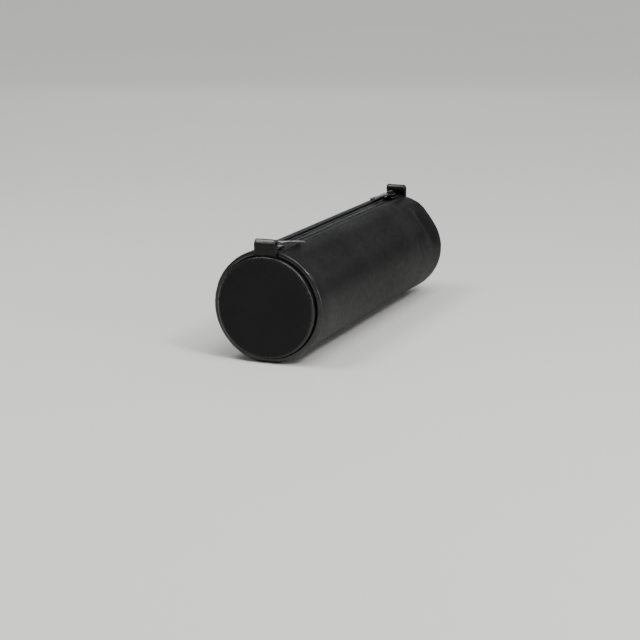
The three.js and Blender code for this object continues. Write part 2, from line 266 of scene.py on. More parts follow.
def section(x, inset, angle, shaped=True):
    """A point of the wall at a depth under its outside; angle is from straight up towards +Y."""
    radius = RADIUS - inset
    if shaped:
        at_rim = smooth((abs(x) - 92 * MM) / (3 * MM))
        radius += hollow(x, angle) * (1 - at_rim * min(1.0, inset / CAP_INSET))
    rise = radius * math.cos(angle)
    if rise < 0:
        floor = (inset - RADIUS) * AXIS_Z / RADIUS
        rise = soft_floor(rise * (AXIS_Z + REST_FLAT) / RADIUS, floor, 0.12 * MM)
    return np.array((x, radius * math.sin(angle), AXIS_Z + rise))


def lens(x):
    """The share of the full opening at a place along the case: none at the rim and at the slider."""
    share = (abs(x) - CLOSED_X) / (STOP_X - CLOSED_X)
    return math.sin(math.pi * share) if 0 < share < 1 else 0.0


def open_with_slider(piece, end, side):
    y = SIDES[side] * FOLD.y
    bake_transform(piece, "shell", f"flank_{end}_{side}", start=(0, y, FOLD.z), end=(0, y, wall_high.z))
    for vertex, weight in zip(piece.data.vertices, piece.data.attributes["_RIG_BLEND"].data):
        weight.value *= lens(vertex.co.x)


# ---- Materials ----


class Nodes:
    """A material's node tree, with short calls for what the materials here share."""

    def __init__(self, name):
        self.material = bpy.data.materials.new(name)
        self.material.use_nodes = True
        self.tree = self.material.node_tree
        self.shader = self.tree.nodes["Principled BSDF"]
        self.place = self.add("ShaderNodeTexCoord").outputs["Object"]

    def add(self, kind, **settings):
        node = self.tree.nodes.new(kind)
        for key, value in settings.items():
            setattr(node, key, value)
        return node

    def link(self, source, target):
        self.tree.links.new(source, target)

    def set(self, **values):
        for key, value in values.items():
            self.shader.inputs[key.replace("_", " ")].default_value = value

    def noise(self, scale, detail=3.0, roughness=0.5, stretch=None):
        node = self.add("ShaderNodeTexNoise")
        node.inputs["Scale"].default_value = scale
        node.inputs["Detail"].default_value = detail
        node.inputs["Roughness"].default_value = roughness
        self.link(self.stretched(stretch), node.inputs["Vector"])
        return node.outputs["Fac"]

    def stretched(self, stretch):
        if stretch is None:
            return self.place
        node = self.add("ShaderNodeMapping")
        node.inputs["Scale"].default_value = stretch
        self.link(self.place, node.inputs["Vector"])
        return node.outputs["Vector"]

    def cells(self, scale, feature="DISTANCE_TO_EDGE"):
        node = self.add("ShaderNodeTexVoronoi", feature=feature)
        node.inputs["Scale"].default_value = scale
        self.link(self.place, node.inputs["Vector"])
        return node.outputs["Distance"]

    def between(self, value, low, high, to_low, to_high):
        node = self.add("ShaderNodeMapRange")
        for key, number in zip(("From Min", "From Max", "To Min", "To Max"), (low, high, to_low, to_high)):
            node.inputs[key].default_value = number
        self.link(value, node.inputs["Value"])
        return node.outputs["Result"]

    def math(self, operation, a, b):
        node = self.add("ShaderNodeMath", operation=operation)
        for k, value in enumerate((a, b)):
            if isinstance(value, (int, float)):
                node.inputs[k].default_value = value
            else:
                self.link(value, node.inputs[k])
        return node.outputs["Value"]

    def colours(self, value, low, high):
        node = self.add("ShaderNodeMix", data_type="RGBA")
        node.inputs["A"].default_value = (*low, 1)
        node.inputs["B"].default_value = (*high, 1)
        self.link(value, node.inputs["Factor"])
        self.link(node.outputs["Result"], self.shader.inputs["Base Color"])

    def bump(self, height, distance, strength=1.0):
        node = self.add("ShaderNodeBump")
        node.inputs["Distance"].default_value = distance
        node.inputs["Strength"].default_value = strength
        self.link(height, node.inputs["Height"])
        last = self.shader.inputs["Normal"]
        if last.is_linked:
            self.link(last.links[0].from_socket, node.inputs["Normal"])
        self.link(node.outputs["Normal"], last)


HIDE_DARK = (0.0048, 0.0047, 0.0047)
HIDE_LIGHT = (0.0098, 0.0095, 0.0093)
# The end discs are the same hide as the body, given darker base colours: painted shade on the disc faces.
CAP_PAINTED_SHADE_DARK = (0.003, 0.003, 0.003)
CAP_PAINTED_SHADE_LIGHT = (0.006, 0.006, 0.006)


def leather_material(name, low=HIDE_DARK, high=HIDE_LIGHT, gloss=0.0, specular=0.055, polished=None):
    """Smooth black cowhide: fine pores, faint creases, and sheen that varies where hands have rubbed it."""
    nodes = Nodes(name)
    mottle = nodes.noise(34, detail=5, roughness=0.6)
    rubbed = nodes.noise(11, detail=2)
    nodes.colours(nodes.between(mottle, 0.35, 0.7, 0, 1), low, high)
    base = nodes.between(rubbed, 0.3, 0.7, 0.38 - gloss, 0.52 - gloss)
    fine = nodes.between(nodes.noise(420, detail=2), 0.3, 0.7, -0.04, 0.05)
    nodes.link(nodes.math("ADD", base, fine), nodes.shader.inputs["Roughness"])
    pores = nodes.between(nodes.cells(2300), 0.0, 0.25, 0, 1)
    nodes.bump(pores, 0.00004, 0.3)
    nodes.bump(nodes.noise(260, detail=4, roughness=0.6), 0.00012, 0.2)
    nodes.bump(nodes.noise(38, detail=2), 0.0009, 0.3)
    nodes.set(Specular_IOR_Level=specular, Coat_Roughness=0.22, Coat_IOR=1.5)
    if polished is not None:
        worn = nodes.between(nodes.noise(90, detail=3), 0.3, 0.65, 0.55, 1.0)
        nodes.link(nodes.math("MULTIPLY", polished(nodes), worn), nodes.shader.inputs["Coat Weight"])
    return nodes.material


def rim_polish(nodes):
    """The turned rims, which hands have rubbed smooth."""
    split = nodes.add("ShaderNodeSeparateXYZ")
    nodes.link(nodes.place, split.inputs["Vector"])
    along = nodes.math("ABSOLUTE", split.outputs["X"], 0.0)
    return nodes.between(along, RIM_X - 2.0 * MM, RIM_X - 0.6 * MM, 0.0, 1.0)


def tab_polish(nodes):
    """The fold at the top of the tabs."""
    split = nodes.add("ShaderNodeSeparateXYZ")
    nodes.link(nodes.place, split.inputs["Vector"])
    return nodes.between(split.outputs["Z"], TAB_TOP - 1.7 * MM, TAB_TOP - 0.5 * MM, 0.1, 1.0)


def cap_polish(nodes):
    """The edge of the end discs."""
    middle = nodes.add("ShaderNodeMapping")
    middle.inputs["Location"].default_value = (0, 0, -AXIS_Z)
    middle.inputs["Scale"].default_value = (0, 1, 1)
    nodes.link(nodes.place, middle.inputs["Vector"])
    length = nodes.add("ShaderNodeVectorMath", operation="LENGTH")
    nodes.link(middle.outputs["Vector"], length.inputs[0])
    edge = RADIUS - CAP_INSET
    near_edge = nodes.between(length.outputs["Value"], edge - 1.9 * MM, edge - 0.5 * MM, 0.0, 0.7)
    split = nodes.add("ShaderNodeSeparateXYZ")
    nodes.link(nodes.place, split.inputs["Vector"])
    along = nodes.math("ABSOLUTE", split.outputs["X"], 0.0)
    at_face = nodes.between(along, CAP_X - 2.2 * MM, CAP_X - 1.0 * MM, 0.0, 1.0)
    return nodes.math("MULTIPLY", near_edge, at_face)


def weave_material(name, low, high, threads_per_mm, roughness=0.9):
    """Twill weave: two waves across each other, with loose fibres."""
    nodes = Nodes(name)
    waves = []
    for stretch in ((1, 0, 0), (0, 1, 1)):
        node = nodes.add("ShaderNodeTexWave", wave_type="BANDS", bands_direction="DIAGONAL")
        node.inputs["Scale"].default_value = threads_per_mm * 1000 / 3.2
        node.inputs["Distortion"].default_value = 0.6
        nodes.link(nodes.stretched(stretch), node.inputs["Vector"])
        waves.append(node.outputs["Fac"])
    weave = nodes.math("MAXIMUM", *waves)
    fibres = nodes.noise(900, detail=2)
    nodes.colours(nodes.math("MULTIPLY", weave, fibres), low, high)
    nodes.link(nodes.between(fibres, 0.3, 0.7, roughness - 0.1, roughness), nodes.shader.inputs["Roughness"])
    nodes.bump(weave, 0.00012, 0.7)
    nodes.bump(fibres, 0.00006, 0.5)
    nodes.shader.inputs["Sheen Weight"].default_value = 0.25
    return nodes.material


def metal_material(name, colour, roughness):
    """Black nickel plate: faint brushing, and rubbed brighter patches."""
    nodes = Nodes(name)
    brushed = nodes.noise(700, detail=2, stretch=(0.15, 1, 1))
    worn = nodes.noise(240, detail=3)
    nodes.colours(nodes.between(worn, 0.4, 0.7, 0, 1), colour, tuple(min(1, c * 1.7) for c in colour))
    rough = nodes.between(brushed, 0.3, 0.7, roughness - 0.06, roughness + 0.08)
    nodes.link(rough, nodes.shader.inputs["Roughness"])
    nodes.bump(brushed, 0.00002, 0.35)
    nodes.set(Metallic=1.0)
    return nodes.material


def board_material(name):
    nodes = Nodes(name)
    fibres = nodes.noise(350, detail=5, roughness=0.7)
    nodes.colours(fibres, (0.012, 0.011, 0.01), (0.04, 0.037, 0.034))
    nodes.link(nodes.between(fibres, 0.3, 0.7, 0.85, 0.98), nodes.shader.inputs["Roughness"])
    nodes.bump(fibres, 0.0002, 0.6)
    return nodes.material


def thread_material(name):
    """Waxed black thread: two plies twisted together."""
    nodes = Nodes(name)
    twist = nodes.add("ShaderNodeTexWave", wave_type="BANDS", bands_direction="DIAGONAL")
    twist.inputs["Scale"].default_value = 700
    nodes.link(nodes.place, twist.inputs["Vector"])
    nodes.colours(twist.outputs["Fac"], (0.006, 0.006, 0.006), (0.02, 0.02, 0.021))
    nodes.bump(twist.outputs["Fac"], 0.00008, 0.8)
    nodes.link(nodes.between(twist.outputs["Fac"], 0, 1, 0.45, 0.6), nodes.shader.inputs["Roughness"])
    return nodes.material


BODY_LEATHER = leather_material("body_leather", polished=rim_polish)
# cap_leather is a darker copy of body_leather, whose darker base colour paints shade onto the end discs.
CAP_LEATHER = leather_material("cap_leather", CAP_PAINTED_SHADE_DARK, CAP_PAINTED_SHADE_LIGHT, specular=0.16, polished=cap_polish)
TAB_LEATHER = leather_material("tab_leather", gloss=0.1, specular=0.12, polished=tab_polish)
LINING_CLOTH = weave_material("lining_cloth", (0.01, 0.01, 0.011), (0.04, 0.04, 0.043), 3.6)
TAPE_CLOTH = weave_material("tape_cloth", (0.004, 0.004, 0.0045), (0.02, 0.02, 0.021), 4.0)
PADDING_FELT = weave_material("padding_felt", (0.08, 0.08, 0.085), (0.16, 0.16, 0.165), 1.2, 1.0)
TEETH_METAL = metal_material("teeth_metal", (0.022, 0.022, 0.024), 0.34)
SLIDER_METAL = metal_material("slider_metal", (0.04, 0.04, 0.043), 0.26)
FIBRE_BOARD = board_material("black_fibre_board")
THREAD = thread_material("black_thread")


# ---- The wall ----


def steps(start, end, step):
    count = max(1, math.ceil(abs(end - start) / step - 1e-6))
    return [start + (end - start) * k / count for k in range(count + 1)]


def rim_path():
    """(x, inset, direction out) from the middle of the case over the rim's fold into the groove."""
    fold = 1.4 * MM
    lip = 0.5 * MM
    groove = CAP_INSET - 0.25 * MM
    straight = steps(0, 84 * MM, 2 * MM)[:-1] + steps(84 * MM, RIM_X - fold, 0.8 * MM)[:-1]
    path = [(x, 0.0, (0, 1)) for x in straight]
    for k in range(7):
        t = math.pi / 2 * k / 6
        along, up = math.sin(t), math.cos(t)
        path.append((RIM_X - fold + fold * along, fold - fold * up, (along, up)))
    path.append((RIM_X, (fold + groove - lip) / 2, (1, 0)))
    for k in range(5):
        t = math.pi / 2 * k / 4
        x = RIM_X - lip + lip * math.cos(t)
        path.append((x, groove - lip + lip * math.sin(t), (math.cos(t), -math.sin(t))))
    return path


def slot_angle(x, half, inset):
    """The angle of an edge beside the zip, which closes to the middle just before the rim."""
    closing = smooth((RIM_X - 1.5 * MM - abs(x)) / (2.5 * MM))
    return math.asin((LEATHER / 2 + half * closing) / (RADIUS - inset))


def wall_point(end, x, inset, out, depth, angle):
    """A point at a depth under the path, with the seam's gathers near the rim."""
    gather = smooth((x - 88 * MM) / (8 * MM)) * 0.16 * MM * pucker(angle, 3 + end)
    at_x = x - depth * out[0]
    under = inset + depth * out[1] - gather * out[1]
    return section(end * (at_x + gather * out[0] * 0.6), under, angle)


def flank_grid(end, side, depth):
    rows = []
    for x, inset, out in rim_path():
        edge = slot_angle(x, SLOT_HALF, 0)
        angles = [FOLD_ANGLE + (edge - FOLD_ANGLE) * k / 84 for k in range(85)]
        rows.append([wall_point(ENDS[end], x, inset, out, depth, SIDES[side] * a) for a in angles])
    return np.array(rows)


def make_flank(end, side):
    sheet = thick_sheet(flank_grid(end, side, 0), flank_grid(end, side, LEATHER), round_last=True)
    piece = sheet.piece(f"leather_{end}_{side}", BODY_LEATHER, "black_leather")
    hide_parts(f"leather_flank_{end}_{side}")
    open_with_slider(piece, end, side)


def make_base():
    """The strip of wall that the case lies on, between the two folds."""
    half = rim_path()
    path = [(-1, *p) for p in reversed(half)] + [(1, *p) for p in half[1:]]
    angles = steps(FOLD_ANGLE, 2 * math.pi - FOLD_ANGLE, math.radians(2))

    def grid(depth):
        return np.array([[wall_point(e, x, i, o, depth, a) for a in angles] for e, x, i, o in path])

    piece = thick_sheet(grid(0), grid(LEATHER)).piece("leather_base", BODY_LEATHER, "black_leather")
    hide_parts("leather_wall")
    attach(piece, "shell")


def layer_grid(xs, inset, angles, shaped=True):
    return np.array([[section(x, inset, a, shaped) for a in angles] for x in xs])


def make_layer(kind, inset, thickness, edge_half, reach, material, slot):
    """A layer under the leather: four flanks and the strip between their folds, each a sheet of its own."""
    for end, sign in ENDS.items():
        for side, across in SIDES.items():
            edge = math.asin(edge_half / (RADIUS - inset))
            angles = [across * a for a in steps(FOLD_ANGLE, edge, math.radians(3))]
            xs = [sign * x for x in steps(0, reach, 2.5 * MM)]
            outer, inner = (layer_grid(xs, inset + d, angles) for d in (0, thickness))
            sheet = thick_sheet(outer, inner, round_last=True)
            piece = sheet.piece(f"{kind}_{end}_{side}", material, slot)
            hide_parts(f"{kind}_flank_{end}_{side}")
            open_with_slider(piece, end, side)
    angles = steps(FOLD_ANGLE, 2 * math.pi - FOLD_ANGLE, math.radians(3))
    xs = steps(-reach, reach, 2.5 * MM)
    sheet = thick_sheet(layer_grid(xs, inset, angles), layer_grid(xs, inset + thickness, angles))
    piece = sheet.piece(f"{kind}_base", material, slot)
    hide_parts(f"{kind}_wall")
    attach(piece, "shell")


# ---- The ends ----


def lathe(solid, path, place, count):
    """Turns a path of (x, inset) that starts and ends on the axis. place(x, inset, angle) gives a point."""
    angles = [2 * math.pi * k / count for k in range(count)]
    rows = [[place(x, inset, a) for a in angles] for x, inset in path]
    solid.add([p for row in rows for p in row], grid_faces(len(rows), count, close_columns=True))


def make_cap(end):
    """The end cap: a leather disc drawn over its board, its edge gathered by the seam behind it."""
    sign = ENDS[end]
    edge = 1.5 * MM
    thickness = 1.2 * MM
    back = CAP_X - 5 * MM
    inside = CAP_X - thickness - 0.5 * MM
    path = [(CAP_X, RADIUS - r * MM) for r in (0, 1, 2, 4, 7, 10, 13, 16, 18, 20, 21.5, 23, 24, 24.8)]
    for k in range(8):
        t = math.pi / 2 * k / 7
        path.append((CAP_X - edge + edge * math.cos(t), CAP_INSET + edge - edge * math.sin(t)))
    path += [(CAP_X - depth * MM, CAP_INSET) for depth in (1.8, 2.4, 3)]
    path += [(back, CAP_INSET), (back, CAP_INSET + thickness)]
    path += [(inside, CAP_INSET + thickness), (inside, RADIUS)]

    def place(x, inset, angle):
        radius = RADIUS - inset
        front = smooth((x - CAP_X + 2.5 * MM) / (1.5 * MM))
        spot = Vector((radius * math.cos(angle), radius * math.sin(angle), sign)) * 60
        gather = pucker(angle, 11 + sign)
        lift = 0.32 * MM * gather * bell((radius - 26.2 * MM) / (1.1 * MM))
        lift += 0.14 * MM * pucker(angle * 0.4, 5) * smooth((radius - 12 * MM) / (14 * MM))
        lift -= 0.4 * MM * bell(radius / (17 * MM))
        lift += 0.14 * MM * noise.noise(spot)
        crimp = 0.14 * MM * gather * smooth((radius - 25 * MM) / (2 * MM))
        point = section(sign * x, inset + crimp, angle, shaped=False)
        return point + np.array((sign * lift * front, 0, 0))

    solid = Solid()
    lathe(solid, path, place, count=360)
    piece = solid.piece(f"cap_{end}", CAP_LEATHER, "black_leather", sharp_deg=60)
    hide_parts(f"end_cap_{end}")
    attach(piece, "shell")


def make_end_lining(end):
    low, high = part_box(f"end_lining_{end}")
    sign = ENDS[end]
    inside, outside = sorted((abs(low.x), abs(high.x)))
    edge = RADIUS - high.y
    spans = [0, 6 * MM, 12 * MM, 18 * MM, 22 * MM, 24.6 * MM, RADIUS - edge]
    path = [(inside, RADIUS - r) for r in spans] + [(outside, RADIUS - r) for r in reversed(spans)]

    def place(x, inset, angle):
        radius = RADIUS - inset
        quilt = -0.5 * MM * smooth(radius / (24 * MM)) + 0.3 * MM * noise.noise(
            Vector((radius * 90 * math.cos(angle), radius * 90 * math.sin(angle), 1))
        )
        shift = quilt if x < outside else 0
        return section(sign * (x - min(0.0, shift)), inset, angle, shaped=False)

    solid = Solid()
    lathe(solid, path, place, count=96)
    piece = solid.piece(f"lining_disc_{end}", LINING_CLOTH, "lining_fabric")
    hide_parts(f"end_lining_{end}")
    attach(piece, "shell")


def tab_knots(foot, front):
    """(x, z) of the strap's outer face: up from the seam, over the fold and down behind."""
    return [
        (RIM_X + 0.9 * MM, foot - 0.9 * MM),
        (front - 1.0 * MM, foot + 0.6 * MM),
        (front - 0.35 * MM, foot + 3.2 * MM),
        (front - 0.1 * MM, TAB_TOP - 2.3 * MM),
        (front - 0.35 * MM, TAB_TOP - 1.7 * MM),
        (front - 1.6 * MM, TAB_TOP - 0.35 * MM),
        (front - 2.6 * MM, TAB_TOP),
        (front - 3.9 * MM, TAB_TOP - 0.6 * MM),
        (front - 4.6 * MM, TAB_TOP - 2.3 * MM),
        (front - 4.0 * MM, TAB_TOP - 4.1 * MM),
        (front - 2.6 * MM, foot + 1.2 * MM),
        (RIM_X + 0.35 * MM, foot - 0.9 * MM),
    ]


def make_tab(end):
    """The tab: a strap folded over, its two ends sewn in behind the cap's edge."""
    sign = ENDS[end]
    low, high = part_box(f"end_tab_{end}")
    half = (high.y - low.y) / 2
    strap = 1.15 * MM
    path = smooth_path(tab_knots(low.z, max(abs(low.x), abs(high.x))), 6)
    across = steps(-half, half, 0.9 * MM)
    outer, inner = [], []
    for k, (x, z) in enumerate(path):
        a, b = path[max(0, k - 1)], path[min(len(path) - 1, k + 1)]
        tangent = Vector((b[0] - a[0], b[1] - a[1])).normalized()
        inward = Vector((-tangent.y, tangent.x))
        share = k / (len(path) - 1)
        rows = ([], [])
        for y in across:
            cup = 0.08 * MM * (y / half) ** 2 * math.sin(math.pi * share)
            lump = 0.08 * MM * noise.noise(Vector((y * 300, share * 6, 2 + sign)))
            narrow = 1 - 0.04 * math.sin(math.pi * share)
            for row, depth in zip(rows, (0, strap)):
                shift = depth + cup - lump
                row.append((sign * (x + inward.x * shift), y * narrow, z + inward.y * shift))
        outer.append(rows[0])
        inner.append(rows[1])
    sheet = thick_sheet(np.array(outer), np.array(inner), round_first=True, round_last=True)
    piece = sheet.piece(f"tab_{end}", TAB_LEATHER, "black_leather", sharp_deg=60)
    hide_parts(f"end_tab_{end}")
    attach(piece, "shell")


def between_knots(a, b, c, d, t):
    """How far along from b to c, on the curve that comes from a and goes on to d."""
    squared = (2 * a - 5 * b + 4 * c - d) * t * t
    cubed = (3 * b - a - 3 * c + d) * t**3
    return 0.5 * (2 * b + (c - a) * t + squared + cubed)


def smooth_path(knots, per_span):
    """Points on a smooth curve through the knots."""
    ends = [knots[0], *knots, knots[-1]]
    path = []
    for four in zip(ends, ends[1:], ends[2:], ends[3:]):
        for k in range(per_span):
            path.append(tuple(between_knots(*numbers, k / per_span) for numbers in zip(*four)))
    path.append(knots[-1])
    return path


# ---- The zip ----


def make_tapes():
    inner_edge = tape_low.y
    outer_edge = tape_high.y
    for end, sign in ENDS.items():
        for side, across in SIDES.items():
            span = (inner_edge - 0.6 * MM, outer_edge)
            a, b = (across * math.asin(y / (RADIUS - TAPE_INSET)) for y in span)
            angles = steps(b, a, math.radians(1.6))
            xs = [sign * x for x in steps(0, tape_high.x, 2 * MM)]
            sheet = thick_sheet(*(layer_grid(xs, TAPE_INSET + d, angles) for d in (0, FILLER)))
            piece = sheet.piece(f"tape_{end}_{side}", TAPE_CLOTH, "zip_tape")
            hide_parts(f"zip_tape_{side}")
            open_with_slider(piece, end, side)


def tape_cord(solid, sign, across, side_y, reach):
    """The thick edge of the tape, which carries the teeth."""
    sides = 10
    centre_y = side_y - 0.1 * MM
    ring = [2 * math.pi * k / sides for k in range(sides)]
    round_it = [(centre_y + 0.55 * MM * math.cos(t), ZIP_Z + 0.6 * MM * math.sin(t)) for t in ring]
    rows = [[(sign * x, across * y, z) for y, z in round_it] for x in steps(0, reach, 3 * MM)]
    solid.add([p for row in rows for p in row], grid_faces(len(rows), sides, close_columns=True))
    for row in (rows[0], rows[-1]):
        solid.add(row, [tuple(range(sides))])


def make_teeth():
    """Each tooth has a wide foot on the tape's cord and a narrower head that meshes with its neighbours."""
    side_y = teeth_high.y
    reach = teeth_high.x
    foot = (0.62 * MM, side_y * 0.36, 1.1 * MM)
    head = (0.5 * MM, side_y * 0.34, 0.85 * MM)
    for end, sign in ENDS.items():
        for side, across in SIDES.items():
            solid = Solid()
            shift = 0 if side == "left" else TOOTH_PITCH / 2
            first = 1 if side == "left" and end == "near" else 0
            for k in range(first, int(reach / TOOTH_PITCH) + 1):
                x = sign * (k * TOOTH_PITCH) + shift
                if abs(x) > reach or x * sign < 0:
                    continue
                soft_box(solid, (x, across * side_y * 0.62, ZIP_Z), foot, 0.22 * MM)
                soft_box(solid, (x, -across * side_y * 0.02, ZIP_Z), head, 0.25 * MM)
            tape_cord(solid, sign, across, side_y, reach)
            piece = solid.piece(f"teeth_{end}_{side}", TEETH_METAL, "dark_metal", sharp_deg=50)
            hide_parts(f"zip_teeth_{side}")
            open_with_slider(piece, end, side)


def make_stops():
    for end in ENDS:
        for side in SIDES:
            name = f"zip_stop_{end}_{side}"
            low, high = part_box(name)
            solid = Solid()
            soft_box(solid, (low + high) / 2, (high - low) / 2, 0.25 * MM)
            piece = solid.piece(f"stop_{end}_{side}", TEETH_METAL, "dark_metal")
            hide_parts(name)
            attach(piece, "shell")


def make_stitches():
    """One row of stitches through leather and tape along each edge of the slot."""
    angle = math.asin((SLOT_HALF + STITCH_SET_BACK) / RADIUS)
    lean = 0.09  # radians between a stitch and its row
    for end, sign in ENDS.items():
        for side, across in SIDES.items():
            solid = Solid()
            for k in range(int(92 * MM / STITCH_PITCH)):
                x = sign * (k + 0.5) * STITCH_PITCH
                seat = section(x, 0.02 * MM, across * angle)
                roll = Matrix.Rotation(across * -angle, 4, "X")
                tilt = roll @ Matrix.Rotation(sign * across * lean, 4, "Z")
                soft_box(solid, seat, (1.25 * MM, 0.26 * MM, 0.2 * MM), 0.15 * MM, tilt)
            piece = solid.piece(f"stitches_{end}_{side}", THREAD, "black_leather")
            open_with_slider(piece, end, side)


# ---- Sliders and pulls ----


def outline_solid(solid, outline, low, high, bevel, place):
    """A plate of a convex outline with rounded rims."""
    centre = Vector((sum(x for x, _ in outline) / len(outline), sum(y for _, y in outline) / len(outline)))
    size = max((Vector(p) - centre).length for p in outline)
    rings = []
    levels = [(low, 1.0), (low + bevel * 0.3, 0.3), (low + bevel, 0)]
    levels += [(high - bevel, 0), (high - bevel * 0.3, 0.3), (high, 1.0)]
    for z, inward in levels:
        scale = 1 - bevel * inward / size
        ring = [(centre.x + (x - centre.x) * scale, centre.y + (y - centre.y) * scale) for x, y in outline]
        rings.append([place(x, y, z) for x, y in ring])
    count = len(outline)
    solid.add([p for ring in rings for p in ring], grid_faces(len(rings), count, close_columns=True))
    for ring in (rings[0], rings[-1]):
        solid.add(ring, [tuple(range(count))])


def rounded_outline(half_x, wide, narrow, corner):
    """A slider plate's outline, narrower at the +x end, with rounded corners."""
    corners = [(-half_x, -wide), (half_x, -narrow), (half_x, narrow), (-half_x, wide)]
    outline = []
    for k, here in enumerate(corners):
        before, after = corners[k - 1], corners[(k + 1) % 4]
        p = Vector(here)
        a = p + (Vector(before) - p).normalized() * corner
        b = p + (Vector(after) - p).normalized() * corner
        for j in range(6):
            t = j / 5
            outline.append(tuple((1 - t) ** 2 * a + 2 * t * (1 - t) * p + t * t * b))
    return outline


def slider_crown(solid, centre_x, foot, top):
    """The arch that the pull's bar lies in."""
    span = 2.2 * MM
    half_width = thickness = 0.75 * MM
    arch = [(-span, foot), (-span, top - 1.2 * MM)]
    arch += [(-span + 0.35 * MM, top - 0.45 * MM), (-span + 1.1 * MM, top - 0.1 * MM)]
    path = smooth_path(arch + [(0, top)] + [(-x, z) for x, z in reversed(arch)], 4)
    rows = ([], [])
    for k, (x, z) in enumerate(path):
        a, b = path[max(0, k - 1)], path[min(len(path) - 1, k + 1)]
        along = Vector((b[0] - a[0], b[1] - a[1])).normalized()
        for row, depth in zip(rows, (0, thickness)):
            at_x = centre_x + x + along.y * depth
            at_z = z - along.x * depth
            row.append([(at_x, y, at_z) for y in (-half_width, 0, half_width)])
    crown = thick_sheet(np.array(rows[0]), np.array(rows[1]), round_first=True, round_last=True)
    solid.add(crown.points, crown.faces)


def make_slider(end):
    """Two domed plates, a side along each edge, a wedge between them and the crown on top."""
    low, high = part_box(f"slider_{end}")
    sign = ENDS[end]
    centre = (low + high) / 2
    half_x, half_y = SLIDER_HALF, (high.y - low.y) / 2
    floor = 1.4 * MM
    plate = 1.3 * MM

    def place(x, y, z):
        rounding = 0.35 * MM * ((y / half_y) ** 2 + (x / half_x) ** 2)
        dome = -math.copysign(rounding, z) * smooth((abs(z) - floor) / plate)
        return np.array((centre.x - sign * x, -sign * y, ZIP_Z + z + dome))

    solid = Solid()
    outline = rounded_outline(half_x, half_y, half_y - 0.5 * MM, 1.6 * MM)
    outline_solid(solid, outline, floor, floor + plate, 0.4 * MM, place)
    outline_solid(solid, outline, -floor - plate, -floor, 0.4 * MM, place)
    soft_box(solid, (centre.x + sign * 3.5 * MM, 0, ZIP_Z), (0.9 * MM, 1.1 * MM, 1.6 * MM), 0.2 * MM)
    for across in (1, -1):
        for up in (1, -1):
            z = ZIP_Z + up * 1.15 * MM
            seat = (centre.x, across * (half_y - 0.65 * MM), z)
            soft_box(solid, seat, (half_x * 0.7, 0.27 * MM, 0.4 * MM), 0.1 * MM)
    slider_crown(solid, centre.x, ZIP_Z + floor + plate - 0.5 * MM, high.z)
    piece = solid.piece(f"slider_body_{end}", SLIDER_METAL, "dark_metal")
    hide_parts(f"slider_{end}")
    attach(piece, f"slider_{end}")


def circle(x, y, radius, count=28, start=0.0, turn=2 * math.pi):
    angles = [start + turn * k / count for k in range(count)]
    return [(x + radius * math.cos(a), y + radius * math.sin(a)) for a in angles]


def pull_lines(length):
    """The outline, window and hole of the pull, laid flat along +x with its axle at the origin."""
    head, waist, tip = 3.0 * MM, 1.45 * MM, 2.1 * MM
    left = [(-0.5 * MM, head), (3.6 * MM, head), (4.6 * MM, 2.6 * MM), (7.5 * MM, waist), (12.5 * MM, waist)]
    outline = [(x, -y) for x, y in left]
    outline += circle(length - tip, 0, tip, 20, -math.pi / 2, math.pi)
    outline += [(length - tip, tip), *reversed(left)]
    window = [(0.5 * MM, -2.05 * MM), (0.5 * MM, 2.05 * MM), (3.2 * MM, 2.05 * MM), (3.2 * MM, -2.05 * MM)]
    return outline, window, circle(length - tip, 0, 0.95 * MM)


def flat_plate(name, lines, thickness, edge):
    """A mesh of the area inside the first line and outside the others, with rounded edges."""
    curve = bpy.data.curves.new(name, "CURVE")
    curve.dimensions = "2D"
    curve.fill_mode = "BOTH"
    curve.extrude = thickness / 2 - edge
    curve.bevel_depth = edge
    curve.bevel_resolution = 2
    for points in lines:
        spline = curve.splines.new("POLY")
        spline.points.add(len(points) - 1)
        for point, (x, y) in zip(spline.points, points):
            point.co = (x, y, 0, 1)
        spline.use_cyclic_u = True
    flat = bpy.data.objects.new(name, curve)
    mesh = bpy.data.meshes.new_from_object(flat)
    bpy.data.objects.remove(flat)
    return mesh


def make_pull(end):
    """The pull: level at its head, then sloping down to lie on the leather."""
    hinge = joint(f"pull_{end}_lift")
    axle = Vector(hinge["pos_m"])
    swing = Vector(hinge["axis"])
    low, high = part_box(f"pull_{end}")
    forward = Vector((0, 0, 1)).cross(swing).normalized()
    if forward.dot((low + high) / 2 - axle) < 0:
        forward = -forward
    length = 19.5 * MM
    thickness = 0.85 * MM
    level = 4.5 * MM  # from the axle to where the slope begins
    mesh = flat_plate(f"pull_{end}", pull_lines(length), thickness, 0.2 * MM)
    bm = bmesh.new()
    bm.from_mesh(mesh)
    bmesh.ops.remove_doubles(bm, verts=bm.verts, dist=1e-6)
    for k in range(4, 19):
        whole = bm.verts[:] + bm.edges[:] + bm.faces[:]
        bmesh.ops.bisect_plane(bm, geom=whole, plane_co=(k * MM, 0, 0), plane_no=(1, 0, 0))
    drop = axle.z - thickness / 2 - low.z
    up = Vector((0, 0, 1))
    basis = Matrix((forward, up.cross(forward), up)).transposed().to_4x4()
    for vertex in bm.verts:
        share = max(0.0, (vertex.co.x - level) / (length - level))
        vertex.co.z -= drop * share**1.15
    bm.transform(Matrix.Translation(axle) @ basis)
    bm.to_mesh(mesh)
    bm.free()
    piece = finish_mesh(f"pull_tab_{end}", mesh, SLIDER_METAL, "dark_metal", 35)
    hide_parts(f"pull_{end}")
    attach(piece, f"pull_{end}")


# ---- Floor, lights and camera ----


def floor_material():
    nodes = Nodes("pale_floor")
    nodes.colours(nodes.noise(3, detail=2), (0.70, 0.69, 0.67), (0.74, 0.73, 0.71))
    nodes.set(Roughness=0.7)
    return nodes.material


def make_floor():
    bm = bmesh.new()
    bmesh.ops.create_grid(bm, x_segments=2, y_segments=2, size=12)
    mesh = bpy.data.meshes.new("floor")
    bm.to_mesh(mesh)
    bm.free()
    mesh.materials.append(floor_material())
    floor = bpy.data.objects.new("floor", mesh)
    bpy.context.scene.collection.objects.link(floor)


